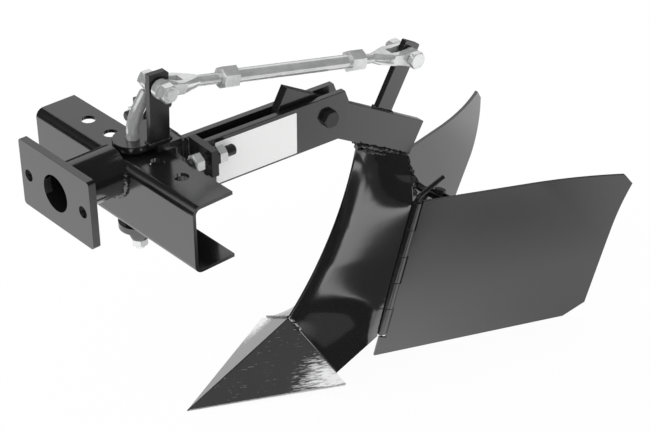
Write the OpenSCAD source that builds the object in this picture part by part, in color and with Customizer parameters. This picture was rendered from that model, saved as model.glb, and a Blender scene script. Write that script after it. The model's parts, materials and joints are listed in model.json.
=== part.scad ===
// Walk-behind ridger. A V-shaped breast with a share point and two hinged wings hangs on a beam,
// which swings on a kingpin behind a bolted hitch. A turnbuckle sets the pitch of the share.
// +Z is up, +Y is to the rear and +X is to the left. The origin is the centre of the hitch
// plate's front face. Sizes are in millimetres and degrees.

/* [Hitch] */
// Distance from the centre of a hitch bolt hole to the plate's end
hitch_edge = 14; // [12:0.5:20]
// Height of the hitch plate
hitch_h = 80; // [70:1:95]
// Thickness of the hitch plate
hitch_t = 9; // [6:0.5:12]
// Corner radius of the hitch plate
hitch_r = 4; // [1:0.5:8]
// Distance between the two hitch bolt holes
hitch_pitch = 98; // [90:1:102]
// Diameter of the hitch bolt holes
hitch_hole = 13.5; // [9:0.5:14]
// Outer diameter of the hitch tube
tube_od = 55; // [50:1:60]
// Wall of the hitch tube
tube_wall = 6.5; // [4:0.5:8]
// Length of the hitch tube from the plate to the channel
tube_len = 62; // [50:1:80]

/* [Cross channel] */
// Length of the cross channel
chan_w = 280; // [240:2:320]
// Height of the cross channel
chan_h = 80; // [72:1:90]
// Depth of the channel's flanges
chan_d = 52; // [48:0.5:56]
// Thickness of the channel's walls
chan_t = 4; // [3:0.5:6]
// Outer radius of the channel's bends
chan_r = 10; // [7:0.5:12]
// Height of the channel's top face over the hitch's centre
chan_top = 16; // [12:0.5:20]
// Number of holes in the row
row_count = 5; // [3:2:5]
// Diameter of the holes in the row
row_hole = 16.5; // [16:0.1:18]
// Pitch of the holes in the row
row_pitch = 41.3; // [36:0.1:48]
// Distance of the hole row behind the channel's front
row_back = 30.7; // [29:0.1:32]

/* [Kingpin] */
// Diameter of the kingpin
king_d = 15; // [12:0.5:15.5]
// Radial running clearance of every pin in its bore
run_fit = 0.05; // [0.02:0.01:0.1]
// Straight height of the kingpin over the yoke
king_rise = 2; // [1:0.5:6]
// Radius of the bend in the kingpin's handle
king_bend_r = 60; // [50:1:64]
// Lean of the kingpin's handle
king_lean = 32; // [28:1:34]
// Straight length of the kingpin's handle
king_grip = 19; // [15:0.5:20]
// Diameter of the threaded tail of the kingpin
king_tail_d = 10; // [8:0.5:11]
// Diameter of the domed collar under the yoke
collar_d = 22.5; // [18:0.5:26]
// Height of the domed collar
collar_h = 16; // [10:0.5:20]

/* [Yoke] */
// Angle at which the beam is set to the side
swing_set = 4.3; // [3:0.1:5]
// Radius of the yoke's eye
yoke_r = 22.5; // [19:0.5:24]
// Thickness of the yoke's plates
yoke_t = 8; // [6:0.5:10]
// Distance from the kingpin to the yoke's back plate
yoke_back = 33; // [31:0.5:35]
// Height of the spacer on the channel
top_gap = 4; // [3:0.5:6]
// Height of the spacer under the channel
bottom_gap = 10; // [6:0.5:14]
// Diameter of the spacers
spacer_d = 30; // [26:0.5:36]
// Slip clearance between faces that turn on each other
slip = 0.1; // [0.05:0.05:0.3]

/* [Swing stops] */
// Distance from the kingpin to the lugs
lug_y = 48.4; // [46:0.2:52]
// Thickness of the lugs
lug_t = 8.6; // [7:0.2:10]
// Reach of each lug to its side
lug_reach = 77; // [74:1:82]
// Top of the lugs over the hitch's centre
lug_top = 27.5; // [26:0.5:30]
// Height of the lugs
lug_h = 31; // [28:0.5:36]
// Width of the right lug's ear
ear_w = 31; // [26:1:36]
// Height left under the right lug's ear
bridge_h = 17; // [12:0.5:18]
// Diameter of the stop screws
stop_d = 12; // [10:0.5:13]
// Distance of the stop screws from the kingpin's plane
stop_x = 65; // [64:0.5:67]
// Length of the stop screws
stop_len = 58; // [54:1:66]
// Thickness of the weld nut behind the left lug
weld_nut_t = 4.5; // [3:0.5:6]
// Gap between the left lug and its front lock nut
nut_back = 7; // [6.5:0.1:7.5]
// Distance of the left screw's tip behind the kingpin
left_tip = 27.4; // [27.2:0.1:29]
// Distance of the right screw's tip behind the kingpin
right_tip = 30.7; // [24:0.1:33]

/* [Beam] */
// Sideways offset of the beam from the kingpin
beam_x = 40; // [38:0.5:41]
// Gap between the beam's side bars
beam_gap = 14; // [13:0.2:15]
// Thickness of the side bars
bar_t = 7.5; // [6:0.5:8]
// Top of the side bars over the hitch's centre
bar_top = 27; // [24:0.5:30]
// Height of the side bars
bar_h = 58.5; // [52:0.5:62]
// Distance of the side bars' rear end behind the kingpin
beam_end = 251; // [246:1:258]
// Distance of the share's pivot behind the kingpin
pivot_y = 221; // [216:1:224]
// Height of the share's pivot over the hitch's centre
pivot_z = 1; // [-2:0.5:3]
// Diameter of the pivot bolt
pivot_d = 12; // [11:0.5:14]

/* [Mast] */
// Width of the mast post
post_w = 24; // [22:0.5:28]
// Thickness of the mast post
post_t = 7.5; // [6:0.5:9]
// Sideways place of the mast post's centre
post_x = 22.25; // [21:0.25:24]
// Distance from the kingpin to the middle of the post's foot
post_y = 18; // [16:0.5:20]
// Height of the mast post
post_h = 81; // [78:1:90]
// Rearward lean of the mast post
post_lean = 2; // [0:0.5:4]
// Height of the link's pin up the mast post
post_pin = 64.5; // [60:0.5:68]

/* [Share] */
// Downward tilt of the share bar
bar_tilt = 28.7; // [26:0.1:31]
// Thickness of the share bar
share_t = 11.8; // [10:0.1:12]
// Height of the share bar
share_h = 43.5; // [38:0.5:46]
// Length of the share bar in front of its pivot
share_front = 68; // [60:1:76]
// Length of the share bar behind its pivot
share_rear = 160; // [150:1:168]
// Height of the bar's centre line over the pivot
share_lift = -2; // [-4:0.25:0]
// Width of the link strut
strut_w = 23; // [22:0.5:28]
// Thickness of the link strut
strut_t = 8; // [6:0.5:9]
// Length of the link strut
strut_len = 86; // [84:1:94]
// Distance of the strut's middle behind the pivot
strut_s = 93.5; // [90:0.5:97]
// Distance of the link's pin from the strut's top
strut_pin = 16; // [14:0.5:20]
// Level of the ground under the hitch's centre
ground = 329; // [324:1:334]
// Distance of the share's tip behind the kingpin
tip_y = 22; // [16:1:30]
// Half width of the share at its rear corners
share_w = 85.5; // [78:0.5:92]
// Distance of the share's rear corners behind the kingpin
corner_y = 194; // [190:1:198]
// Height of the share's rear corners over the ground
corner_z = 10.5; // [8:0.5:14]
// Thickness of the share's plate
point_t = 6; // [4:0.5:8]

/* [Breast] */
// Radius of the breast's front edge
breast_r = 430; // [420:1:440]
// Slope of the front edge at its top
breast_a = 11.1; // [10.5:0.1:12]
// Turn of the front edge from top to bottom
breast_turn = 30.9; // [30:0.1:32]
// Distance of the front edge's top behind the kingpin
breast_y = 274.8; // [273:0.1:277]
// Half width of the blunt front edge
edge_half = 1.6; // [1:0.1:2.5]
// Thickness of the flank plates
flank_t = 4; // [3:0.5:5]
// Share of the point's rear edge that the flank covers
flank_cover = 0.825; // [0.8:0.005:0.88]

/* [Wings] */
// Sideways place of the hinge line's foot
hinge_x = 50; // [47:0.5:53]
// Distance of the hinge line's foot behind the kingpin
hinge_y = 267; // [264:1:270]
// Height of the hinge line's foot over the ground
hinge_z = 5; // [3:0.5:8]
// Rearward lean of the hinge line
hinge_lean = 19.6; // [18:0.2:21]
// Inward cant of the hinge line
hinge_cant = 2.3; // [1.5:0.1:3]
// Outer diameter of the hinge knuckles
knuckle_d = 12; // [11:0.5:13]
// Diameter of the hinge pins
hinge_pin_d = 6; // [5:0.5:6.5]
// Lower end of the knuckles along the hinge line
knuckle_low = 24; // [22:1:28]
// Upper end of the knuckles along the hinge line
knuckle_high = 196; // [192:1:200]
// Outward splay of the left wing
left_splay = 20.5; // [19:0.5:22]
// Outward splay of the right wing
right_splay = 17.5; // [16:0.5:19]
// Thickness of the wings
wing_t = 4; // [3:0.5:5]
// Length of the wings at their rear edge
wing_len = 273; // [268:1:280]
// How far the wings' lower edge stops short of their rear edge
wing_rake = 33; // [28:1:38]
// Height of the wings' front edge along the hinge line
wing_front = 199; // [197:1:203]
// Height of the wings' tip along the hinge line
wing_high = 271; // [262:1:276]
// Radius of the rolled upper corner of the wings
roll_r = 206; // [180:1:240]
// Radius of the quadrants' slots
quad_r = 50; // [48:0.5:51]
// Diameter of the clamp bolts
clamp_d = 8; // [6:0.5:8]

/* [Turnbuckle] */
// Gap between a fork's ears
fork_gap = 13; // [12.6:0.2:14]
// Thickness of a fork's ears
fork_ear = 8; // [6:0.5:9]
// Radius of a fork's ends
fork_r = 11; // [10:0.5:12]
// Depth of a fork's slot from its pin
fork_slot = 27; // [25:0.5:30]
// Length of a fork from its pin to its shank
fork_len = 50; // [46:1:54]
// Diameter of the fork pins
fork_pin_d = 12; // [10:0.5:12]
// Diameter of the front fork's threaded shank
front_shank_d = 12; // [11:0.5:13]
// Diameter of the rear fork's threaded shank
rear_shank_d = 11; // [10:0.5:11.5]
// Bare length of shank at the front fork
front_bare = 27; // [22:1:34]
// Bare length of shank at the rear fork
rear_bare = 14; // [12:0.5:20]
// Length of shank inside the sleeve
shank_in = 26; // [20:1:34]
// Outer diameter of the sleeve
sleeve_d = 16; // [15.5:0.5:18]
// Width across the flats of the sleeve's end collars
sleeve_hex = 22.5; // [20:0.5:24]
// Length of the sleeve's end collars
sleeve_end = 9.5; // [8:0.5:14]
// Radial clearance of the rear shank in the sleeve
rear_play = 0.75; // [0.5:0.05:0.9]

/* [Hidden] */
$fn = 64;

paint = [0.09, 0.09, 0.095];
zinc = [0.76, 0.77, 0.78];
bare_steel = [0.16, 0.16, 0.165];

// Hitch and channel places
web_y = hitch_t + tube_len;
king_y = web_y + row_back;
hitch_w = hitch_pitch + 2 * hitch_edge;
bore_relief = 1;
chan_bottom = chan_top - chan_h;
tube_lap = 0.4 * chan_r;

// Yoke levels, from the top down
yoke_low = chan_top + top_gap;
yoke_top = yoke_low + yoke_t;
under_top = chan_bottom - bottom_gap;
under_low = under_top - yoke_t;

// Fasteners, sized from their thread
function nut_flats(d) = 1.55 * d;
function nut_height(d) = 0.83 * d;
function head_height(d) = 0.63 * d;
tail_stub = 4;
king_turn = 12;
nose_drop = 32;

// Facets of the bent grips
bend_steps = 8;
bend_sides = 24;

// Beam faces
beam_half = beam_gap / 2;
right_in = beam_x - beam_half;
right_out = right_in - bar_t;
left_in = beam_x + beam_half;
left_out = left_in + bar_t;
bar_low = bar_top - bar_h;
lug_rear = lug_y + lug_t;
yoke_rear = yoke_back + yoke_t;
stop_z = chan_top - chan_t / 2;

// Share bar levels, square to the bar
share_high = share_lift + share_h / 2;
share_under = share_lift - share_h / 2;
washer_t = beam_half - share_t / 2 - slip;

// Link pins and the direction of the turnbuckle
front_pin = [post_x, post_y + post_pin * tan(post_lean), yoke_top + post_pin];
strut_x = (strut_t - share_t) / 2;
pin_up = share_high + strut_len - strut_pin;
rear_pin = [
    beam_x + strut_x,
    pivot_y + strut_s * cos(bar_tilt) + pin_up * sin(bar_tilt),
    pivot_z - strut_s * sin(bar_tilt) + pin_up * cos(bar_tilt)
];
link = rear_pin - front_pin;
link_len = norm(link);
link_pitch = atan2(-link[2], link[1]);
link_skew = asin(link[0] / link_len);
lock_t = nut_height(front_shank_d);
sleeve_start = fork_len + front_bare + lock_t;
sleeve_stop = link_len - fork_len - rear_bare - lock_t;

// Breast front edge, from the bar's underside down to the share
bar_under_s = (breast_y - pivot_y - share_under * sin(bar_tilt)) / cos(bar_tilt);
breast_z = pivot_z - bar_under_s * sin(bar_tilt) + share_under * cos(bar_tilt) - 0.3;
function breast(t) = let (a = breast_a + breast_turn * t) [
    edge_half,
    breast_y - breast_r * (cos(breast_a) - cos(a)),
    breast_z - breast_r * (sin(a) - sin(breast_a))
];
share_top = [0, breast(1)[1], breast(1)[2]];
share_tip = [0, tip_y, -ground];
share_corner = [share_w, corner_y, corner_z - ground];

// Hinge line of the left wing, beside the beam's centre plane
hinge_foot = [hinge_x, hinge_y, hinge_z - ground];
hinge_dir = [
    -sin(hinge_cant),
    cos(hinge_cant) * sin(hinge_lean),
    cos(hinge_cant) * cos(hinge_lean)
];
function splay(side) = side > 0 ? left_splay : right_splay;
function chord_drop(a) = cos(a) * sin(hinge_lean) - sin(a) * cos(hinge_lean) * sin(hinge_cant);
function foot_slope(side) = chord_drop(splay(side)) / hinge_dir[2];
foot_low = -hinge_z / hinge_dir[2];
knuckle_count = 5;
knuckle_step = (knuckle_high - knuckle_low) / knuckle_count;
knuckle_gap = 0.5;
wing_clear = 1;
wing_foot = wing_len - wing_rake;
wing_edge = knuckle_d / 2 + wing_clear;
toe_gap = 4;
toe_reach = 1.5;
tip_cut = 18;
heel_cut = [25, 22];
pin_bend = 7;
pin_lean = 60;
pin_grip = 42;

// Wing adjuster levels along the hinge line
quad_t = 4;
quad_v = knuckle_high + 2;
quad_gap = 0.4;
quad_mid = 34;
quad_travel = 14;
clamp_in = 15;
strap_half = 7;

// Flank surface between the front edge and the hinge line
flank_split = 0.74;
flank_rows = 26;
flank_cols = 6;
crest_part = 0.12;
hinge_part = 0.26;
crest_inset = 7.5;
crest_s = share_rear - crest_inset;
crest = [
    share_t / 2 + 2,
    pivot_y + crest_s * cos(bar_tilt) + share_under * sin(bar_tilt),
    pivot_z - crest_s * sin(bar_tilt) + share_under * cos(bar_tilt) - 0.3
];
shoulder_rise = 30;
knuckle_room = 20;

function lerp(a, b, t) = a + (b - a) * t;
function unit(v) = v / norm(v);
function hinge_at(v) = hinge_foot + v * hinge_dir;
shoulder = hinge_at(knuckle_high) + [-0.42, 0.1, 0.9] * shoulder_rise;
function share_edge(q) = let (p = lerp(share_top, share_corner, q))
    [max(edge_half, p[0]), p[1] + 0.4, p[2]];
function front_edge(t) = t < flank_split
    ? breast(t / flank_split)
    : share_edge((t - flank_split) / (1 - flank_split) * flank_cover);
function rear_line(t) = t < crest_part
    ? lerp(crest, shoulder, t / crest_part)
    : t < hinge_part
    ? lerp(shoulder, hinge_at(knuckle_high), (t - crest_part) / (hinge_part - crest_part))
    : lerp(hinge_at(knuckle_high), hinge_at(knuckle_low), (t - hinge_part) / (1 - hinge_part));
function rear_edge(t) = let (p = rear_line(t))
    p + unit(front_edge(t) - p) * (knuckle_d / 2 - 1) * min(1, t / hinge_part);
function flank(t, s) = lerp(front_edge(t), rear_edge(t), s);
function flank_inward(t, s) = let (e = 0.01) unit(cross(
    flank(t, min(1, s + e)) - flank(t, max(0, s - e)),
    flank(min(1, t + e), s) - flank(max(0, t - e), s)
));
function flank_inner(t, s) = let (p = flank(t, s) + flank_t * flank_inward(t, s))
    [max(0.2, p[0]), p[1], p[2]];

// Outline helpers
module along_x(x, t) {
    translate([x, 0, 0]) rotate([90, 0, 90]) linear_extrude(t) children();
}

module along_y(y, t) {
    translate([0, y + t, 0]) rotate([90, 0, 0]) linear_extrude(t) children();
}

module rod_x(d, x0, x1) {
    translate([x0, 0, 0]) rotate([0, 90, 0]) cylinder(d = d, h = x1 - x0);
}

module rod_y(d, y0, y1) {
    translate([0, y0, 0]) rotate([-90, 0, 0]) cylinder(d = d, h = y1 - y0);
}

module hex(flats, h) {
    rotate([0, 0, 30]) cylinder(d = flats / cos(30), h = h, $fn = 6);
}

// A hex with the corners turned off at one end
module hex_turned(flats, h) {
    intersection() {
        hex(flats, h);
        union() {
            cylinder(d = flats / cos(30) + 1, h = 0.82 * h);
            translate([0, 0, 0.82 * h])
                cylinder(d1 = flats / cos(30) + 1, d2 = 0.95 * flats, h = 0.18 * h);
        }
    }
}

module nut(d, flats, h) {
    difference() {
        hex_turned(flats, h);
        translate([0, 0, -1]) cylinder(d = d + 2 * run_fit, h = h + 2);
    }
}

module rounded_plate(w, h, r) {
    square([w - 2 * r, h], center = true);
    square([w, h - 2 * r], center = true);
    for (x = [-1, 1], y = [-1, 1])
        translate([x * (w / 2 - r), y * (h / 2 - r)]) circle(r);
}

// Stations of a bent grip: place along Y and Z, lean and radius
function grip_path(r, bend_r, lean, grip) = let (
    end = [bend_r * (1 - cos(lean)), bend_r * sin(lean)],
    way = [sin(lean), cos(lean)]
) concat(
    [[0, -1, 0, r]],
    [for (i = [0 : bend_steps]) let (a = lean * i / bend_steps)
        [bend_r * (1 - cos(a)), bend_r * sin(a), a, r]],
    [for (e = [[grip - 1, r], [grip, r - 1]])
        [end[0] + e[0] * way[0], end[1] + e[0] * way[1], lean, e[1]]]
);

// A round grip swept along its stations
module swept_grip(path) {
    n = bend_sides;
    rings = len(path);
    points = [for (p = path, k = [0 : n - 1]) let (c = cos(360 * k / n), s = sin(360 * k / n))
        [p[3] * c, p[0] + p[3] * s * cos(p[2]), p[1] - p[3] * s * sin(p[2])]];
    cells = [for (i = [0 : rings - 2], k = [0 : n - 1])
        [i * n + k, i * n + (k + 1) % n, (i + 1) * n + (k + 1) % n, (i + 1) * n + k]];
    polyhedron(
        points = points,
        faces = concat(
            [[for (k = [0 : n - 1]) k]],
            [[for (k = [n - 1 : -1 : 0]) (rings - 1) * n + k]],
            [for (c = cells) [c[0], c[2], c[1]]],
            [for (c = cells) [c[0], c[3], c[2]]]
        )
    );
}

// A rod that rises along Z and bends towards +Y
module bent_rod(d, rise, bend_r, lean, grip) {
    cylinder(d = d, h = rise);
    translate([0, 0, rise]) swept_grip(grip_path(d / 2 - 0.05, bend_r, lean, grip));
}

// Frames of the moving groups
module on_swing() {
    translate([0, king_y, 0]) rotate([0, 0, -swing_set]) children();
}

module on_breast(side) {
    on_swing() translate([beam_x, 0, 0]) mirror([side < 0 ? 1 : 0, 0, 0]) children();
}

module on_bar() {
    on_swing() translate([beam_x, pivot_y, pivot_z]) rotate([-bar_tilt, 0, 0]) children();
}

module on_hinge(side) {
    on_breast(side) translate(hinge_foot)
        rotate([-hinge_lean, 0, 0]) rotate([0, -hinge_cant, 0]) children();
}

module on_wing(side) {
    on_hinge(side) rotate([0, 0, -splay(side)]) children();
}

module on_link() {
    on_swing() translate(front_pin) rotate([-link_pitch, 0, 0]) rotate([0, 0, -link_skew])
        children();
}

// Hitch
module hitch_plate() {
    color(paint) along_y(0, hitch_t) difference() {
        rounded_plate(hitch_w, hitch_h, hitch_r);
        circle(d = tube_od - 2 * tube_wall);
        for (x = [-1, 1]) translate([x * hitch_pitch / 2, 0]) circle(d = hitch_hole);
    }
}

module hitch_tube() {
    bore = tube_od - 2 * tube_wall;
    color(paint) difference() {
        rod_y(tube_od, hitch_t, web_y + tube_lap);
        rod_y(bore, hitch_t - 1, web_y);
        rod_y(bore + 2 * bore_relief, web_y - bore_relief, web_y + tube_lap + 1);
        along_x(-tube_od, 2 * tube_od) chan_blank(0);
    }
}

// Filled section of the channel, set in from its outer faces
module chan_blank(inset) {
    r = chan_r - inset;
    back = chan_d - chan_r + 2 * inset;
    translate([web_y + chan_r, chan_bottom + inset]) square([back, chan_h - 2 * inset]);
    translate([web_y + inset, chan_bottom + chan_r]) square([r + 0.01, chan_h - 2 * chan_r]);
    for (z = [chan_bottom + chan_r, chan_top - chan_r])
        translate([web_y + chan_r, z]) circle(r);
}

module cross_channel() {
    color(paint) difference() {
        along_x(-chan_w / 2, chan_w) difference() {
            chan_blank(0);
            chan_blank(chan_t);
        }
        for (i = [0 : row_count - 1])
            translate([(i - (row_count - 1) / 2) * row_pitch, king_y, chan_bottom - 1])
                cylinder(d = row_hole, h = chan_h + 2);
    }
}

// Kingpin
module kingpin() {
    color(zinc) translate([0, king_y, 0]) {
        shoulder_z = under_low - slip;
        nut_z = shoulder_z - collar_h - nut_height(king_tail_d) - tail_stub;
        translate([0, 0, nut_z]) cylinder(d = king_tail_d, h = shoulder_z - nut_z);
        translate([0, 0, shoulder_z]) rotate([0, 0, -king_turn])
            bent_rod(king_d, yoke_top + king_rise - shoulder_z, king_bend_r, king_lean, king_grip);
    }
}

module king_collar() {
    dome = 0.3 * collar_h;
    color(paint) translate([0, king_y, under_low - slip - collar_h]) difference() {
        union() {
            translate([0, 0, dome]) cylinder(d = collar_d, h = collar_h - dome);
            cylinder(d1 = 0.84 * collar_d, d2 = collar_d, h = dome);
        }
        translate([0, 0, -1]) cylinder(d = king_tail_d + 2 * run_fit, h = collar_h + 2);
    }
}

module king_nut() {
    h = nut_height(king_tail_d);
    color(zinc) translate([0, king_y, under_low - slip - collar_h])
        mirror([0, 0, 1]) nut(king_tail_d, 1.7 * king_tail_d, h);
}

// Yoke and beam
module eye_plate() {
    difference() {
        union() {
            circle(yoke_r);
            translate([-yoke_r, 0]) square([2 * yoke_r, yoke_rear]);
            translate([0, yoke_r / 2]) square([right_in, yoke_rear - yoke_r / 2]);
        }
        circle(d = king_d + 2 * run_fit);
    }
}

module spacer(h) {
    difference() {
        cylinder(d = spacer_d, h = h - slip);
        translate([0, 0, -1]) cylinder(d = king_d + 2 * run_fit, h = h + 2);
    }
}

module top_spacer() {
    color(paint) on_swing() translate([0, 0, chan_top + slip]) spacer(top_gap);
}

module bottom_spacer() {
    color(paint) on_swing() translate([0, 0, under_top]) spacer(bottom_gap);
}

module yoke_top_plate() {
    color(paint) on_swing() translate([0, 0, yoke_low]) linear_extrude(yoke_t) eye_plate();
}

module yoke_bottom_plate() {
    color(paint) on_swing() translate([0, 0, under_low]) linear_extrude(yoke_t) eye_plate();
}

module yoke_back_plate() {
    color(paint) on_swing() translate([-yoke_r, yoke_back, under_top])
        cube([right_in + yoke_r, yoke_t, yoke_low - under_top]);
}

module stop_hole(side) {
    translate([side * stop_x, 0, stop_z])
        rod_y(stop_d + 2 * run_fit, lug_y - 1, lug_rear + weld_nut_t + 1);
}

module left_lug() {
    color(paint) on_swing() difference() {
        union() {
            translate([right_in, lug_y, lug_top - lug_h]) cube([lug_reach - right_in, lug_t, lug_h]);
            translate([stop_x, lug_rear, stop_z]) rotate([-90, 0, 0])
                hex(nut_flats(stop_d), weld_nut_t);
        }
        stop_hole(1);
    }
}

module right_lug() {
    color(paint) on_swing() difference() {
        along_y(lug_y, lug_t) {
            translate([-lug_reach, lug_top - lug_h]) square([ear_w, lug_h]);
            translate([-lug_reach, lug_top - lug_h]) square([lug_reach + right_out, bridge_h]);
        }
        stop_hole(-1);
    }
}

module mast_post() {
    lean = post_h * tan(post_lean);
    chamfer = 3;
    near = post_y - post_w / 2;
    far = post_y + post_w / 2;
    color(paint) on_swing() difference() {
        along_x(post_x - post_t / 2, post_t) translate([0, yoke_top]) polygon([
            [near, 0], [far, 0], [far + lean, post_h - chamfer],
            [far + lean - chamfer, post_h], [near + lean, post_h]
        ]);
        translate([0, front_pin[1], front_pin[2]])
            rod_x(fork_pin_d + 2 * run_fit, post_x - post_t, post_x + post_t);
    }
}

// Side bar outline with its cut-back rear corners
module bar_outline(front) {
    polygon([
        [front, bar_low], [front, bar_top],
        [beam_end - 6, bar_top], [beam_end - 1, bar_top - 13],
        [beam_end, bar_top - nose_drop], [beam_end - 3, bar_low + 4], [beam_end - 7, bar_low]
    ]);
}

module side_bar(x, front) {
    on_swing() difference() {
        along_x(x, bar_t) bar_outline(front);
        translate([0, pivot_y, pivot_z]) rod_x(pivot_d + 2 * run_fit, x - 1, x + bar_t + 1);
    }
}

module left_side_bar() {
    color(paint) side_bar(left_in, lug_rear);
}

module right_side_bar() {
    color(paint) side_bar(right_out, yoke_rear);
}

// Stop screws
module stop_screw(side, tip) {
    chamfer = 1.5;
    color(paint) on_swing() translate([side * stop_x, tip, stop_z]) rotate([-90, 0, 0]) {
        cylinder(d1 = stop_d - 2 * chamfer, d2 = stop_d, h = chamfer);
        translate([0, 0, chamfer]) cylinder(d = stop_d, h = stop_len - 2 * chamfer);
        translate([0, 0, stop_len - chamfer])
            cylinder(d1 = stop_d, d2 = stop_d - 2 * chamfer, h = chamfer);
    }
}

module stop_nut(side, y, turn) {
    color(zinc) on_swing() translate([side * stop_x, y, stop_z]) rotate([turn, 0, 0])
        nut(stop_d, nut_flats(stop_d), nut_height(stop_d));
}

module left_stop() {
    stop_screw(1, left_tip);
}

module left_stop_front_nut() {
    stop_nut(1, lug_y - nut_back, 90);
}

module left_stop_rear_nut() {
    stop_nut(1, lug_rear + weld_nut_t, -90);
}

module right_stop() {
    stop_screw(-1, right_tip);
}

module right_stop_front_nut() {
    stop_nut(-1, lug_y, 90);
}

module right_stop_rear_nut() {
    stop_nut(-1, lug_rear, -90);
}

// Share pivot
module pivot_bolt() {
    tail = right_out - nut_height(pivot_d) - tail_stub;
    color(paint) on_swing() translate([0, pivot_y, pivot_z]) {
        rod_x(pivot_d, tail, left_out);
        translate([left_out, 0, 0]) rotate([0, 90, 0])
            hex_turned(nut_flats(pivot_d), head_height(pivot_d));
    }
}

module pivot_nut() {
    color(paint) on_swing() translate([right_out, pivot_y, pivot_z]) rotate([0, -90, 0])
        nut(pivot_d, nut_flats(pivot_d), nut_height(pivot_d));
}

module pivot_washer(x) {
    color(paint) on_swing() translate([0, pivot_y, pivot_z]) difference() {
        rod_x(0.85 * share_h, x, x + washer_t);
        rod_x(pivot_d + 2 * run_fit, x - 1, x + washer_t + 1);
    }
}

module left_pivot_washer() {
    pivot_washer(left_in - washer_t);
}

module right_pivot_washer() {
    pivot_washer(right_in);
}

// Share bar and breast
module share_bar() {
    color(paint) on_bar() difference() {
        translate([-share_t / 2, -share_front, share_under])
            cube([share_t, share_front + share_rear, share_h]);
        rod_x(pivot_d + 2 * run_fit, -share_t, share_t);
    }
}

module link_strut() {
    chamfer = 1.2;
    color(paint) on_bar() difference() {
        along_x(strut_x - strut_t / 2, strut_t) translate([strut_s - strut_w / 2, share_high])
            polygon([
                [0, 0], [strut_w, 0], [strut_w, strut_len - chamfer],
                [strut_w - chamfer, strut_len], [chamfer, strut_len], [0, strut_len - chamfer]
            ]);
        translate([strut_x, strut_s, pin_up])
            rod_x(fork_pin_d + 2 * run_fit, -strut_t, strut_t);
    }
}

// Closed sheet between the outer and the inner surface of a flank
module flank_sheet() {
    n = flank_rows;
    m = flank_cols;
    inner = (n + 1) * (m + 1);
    function at(i, j) = i * (m + 1) + j;
    outer_points = [for (i = [0 : n], j = [0 : m]) flank(i / n, j / m)];
    inner_points = [for (i = [0 : n], j = [0 : m]) flank_inner(i / n, j / m)];
    cells = [for (i = [0 : n - 1], j = [0 : m - 1]) [at(i, j), at(i, j + 1), at(i + 1, j + 1), at(i + 1, j)]];
    rim = concat(
        [for (j = [0 : m - 1]) at(0, j)],
        [for (i = [0 : n - 1]) at(i, m)],
        [for (j = [m : -1 : 1]) at(n, j)],
        [for (i = [n : -1 : 1]) at(i, 0)]
    );
    last = len(rim) - 1;
    polyhedron(
        points = concat(outer_points, inner_points),
        faces = concat(
            [for (c = cells) [c[0], c[1], c[2]]],
            [for (c = cells) [c[0], c[2], c[3]]],
            [for (c = cells) [c[2] + inner, c[1] + inner, c[0] + inner]],
            [for (c = cells) [c[3] + inner, c[2] + inner, c[0] + inner]],
            [for (k = [0 : last]) let (a = rim[k], b = rim[k < last ? k + 1 : 0]) [b, a, a + inner]],
            [for (k = [0 : last]) let (a = rim[k], b = rim[k < last ? k + 1 : 0]) [b, a + inner, b + inner]]
        )
    );
}

module flank_plate(side) {
    color(paint) difference() {
        on_breast(side) flank_sheet();
        on_hinge(side) translate([0, 0, knuckle_low - knuckle_room])
            cylinder(d = knuckle_d + 0.6, h = knuckle_high - knuckle_low + 2 * knuckle_room);
    }
}

module left_flank() {
    flank_plate(1);
}

module right_flank() {
    flank_plate(-1);
}

// Folded share, open beneath
module share_point() {
    back = point_t * 3;
    inner = [0, 0, -1.25 * point_t];
    fold = [-0.56, 0, -0.76] * point_t;
    flip = [[-1, 0, 0], [0, 1, 0], [0, 0, 1]];
    corner_in = share_corner + fold;
    color(bare_steel) on_breast(1) polyhedron(
        points = [
            share_tip, share_top, share_corner, flip * share_corner,
            share_tip + [0, back, 0], share_top + inner, corner_in, flip * corner_in
        ],
        faces = [
            [0, 1, 2], [0, 3, 1],
            [4, 6, 5], [4, 5, 7],
            [0, 2, 6], [0, 6, 4], [0, 4, 7], [0, 7, 3],
            [1, 5, 6], [1, 6, 2], [1, 3, 7], [1, 7, 5]
        ]
    );
}

// Hinges
module knuckle(k) {
    low = knuckle_low + k * knuckle_step + (k > 0 ? knuckle_gap / 2 : 0);
    high = knuckle_low + (k + 1) * knuckle_step - (k < knuckle_count - 1 ? knuckle_gap / 2 : 0);
    translate([0, 0, low]) difference() {
        cylinder(d = knuckle_d, h = high - low);
        translate([0, 0, -1]) cylinder(d = hinge_pin_d + 2 * run_fit, h = high - low + 2);
    }
}

module left_hinge_knuckles() {
    color(paint) on_hinge(1) for (k = [0 : 2 : knuckle_count - 1]) knuckle(k);
}

module right_hinge_knuckles() {
    color(paint) on_hinge(-1) for (k = [0 : 2 : knuckle_count - 1]) knuckle(k);
}

module left_wing_knuckles() {
    color(paint) on_hinge(1) for (k = [1 : 2 : knuckle_count - 1]) knuckle(k);
}

module right_wing_knuckles() {
    color(paint) on_hinge(-1) for (k = [1 : 2 : knuckle_count - 1]) knuckle(k);
}

module hinge_pin(side) {
    pin_low = knuckle_low - 2;
    color(paint) on_hinge(side) translate([0, 0, pin_low]) rotate([0, 0, 8])
        bent_rod(hinge_pin_d, knuckle_high + 3 - pin_low, pin_bend, pin_lean, pin_grip);
}

module left_hinge_pin() {
    hinge_pin(1);
}

module right_hinge_pin() {
    hinge_pin(-1);
}

// Wing spread adjuster
module clamp_place() {
    rotate([0, 0, clamp_in]) translate([0, quad_r, 0]) children();
}

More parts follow.
